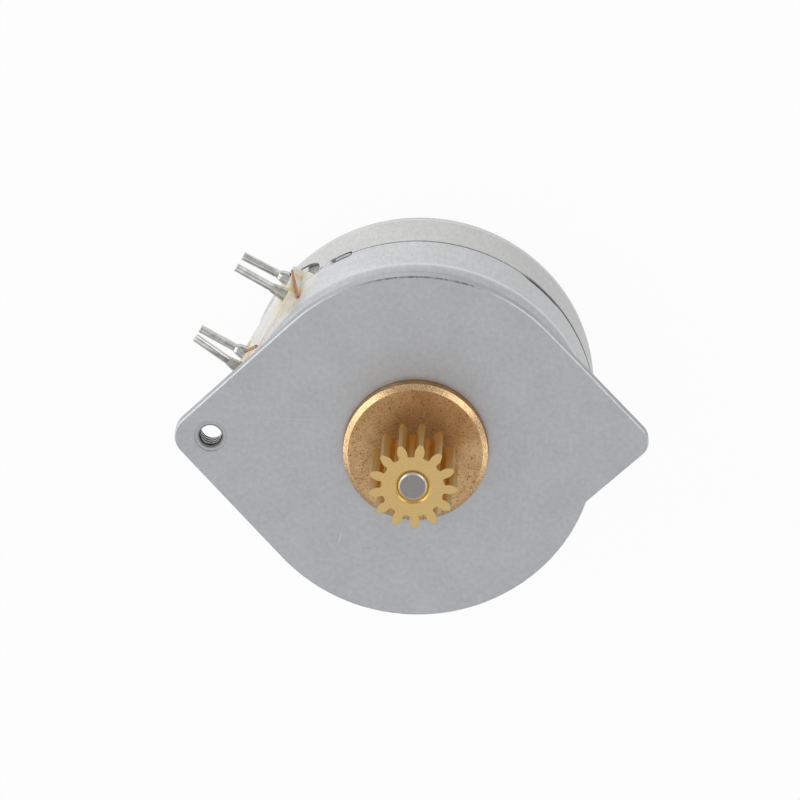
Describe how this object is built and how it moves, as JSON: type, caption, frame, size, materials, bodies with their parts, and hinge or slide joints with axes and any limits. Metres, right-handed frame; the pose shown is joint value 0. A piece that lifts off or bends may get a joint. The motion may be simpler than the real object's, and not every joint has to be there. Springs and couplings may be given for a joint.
{
  "type": "stepper motor",
  "caption": "Round can-stack stepper motor with a two-eared mounting flange, a bronze front bush, a brass output pinion and side terminal pins.",
  "frame": {"origin": "where the shaft axis meets the front face of the mounting flange", "axes": "+Z along the shaft towards the pinion, -X towards the ear with the tapped hole"},
  "size_m": [0.0327, 0.025, 0.0236],
  "materials": {
    "flange_steel": "matte zinc-plated steel sheet",
    "can_steel": "satin drawn steel sheet",
    "sintered_bronze": "speckled sintered bronze",
    "shaft_steel": "ground steel",
    "pinion_brass": "machined brass",
    "bobbin_plastic": "cream moulded plastic",
    "pin_tin": "tin-plated wire",
    "solder": "smooth solder",
    "enamelled_copper": "enamelled copper wire",
    "coil_tape": "dark polyester tape",
    "ferrite": "dark ferrite magnet",
    "hub_plastic": "dark moulded plastic",
    "washer_plastic": "natural low-friction plastic"
  },
  "bodies": {
    "stator": {"mounting_flange": "flange_steel", "front_bearing": "sintered_bronze", "front_can": "can_steel", "front_inner_yoke": "can_steel", "front_bobbin": "bobbin_plastic", "front_coil": "enamelled_copper", "front_coil_tape": "coil_tape", "front_terminal_pins": "pin_tin", "rear_can": "can_steel", "rear_inner_yoke": "can_steel", "rear_bobbin": "bobbin_plastic", "rear_coil": "enamelled_copper", "rear_coil_tape": "coil_tape", "rear_terminal_pins": "pin_tin", "solder_joints": "solder", "coil_leads": "enamelled_copper", "rear_cover": "can_steel", "rear_bearing": "sintered_bronze"},
    "rotor": {"shaft": "shaft_steel", "rotor_hub": "hub_plastic", "rotor_magnet": "ferrite", "front_thrust_washer": "washer_plastic", "rear_thrust_washer": "washer_plastic", "pinion": "pinion_brass"}
  },
  "joints": [
    {"name": "rotor_spin", "type": "hinge", "parent": "stator", "child": "rotor", "pos_m": [0, 0, 0], "axis": [0, 0, 1], "continuous": true}
  ]
}
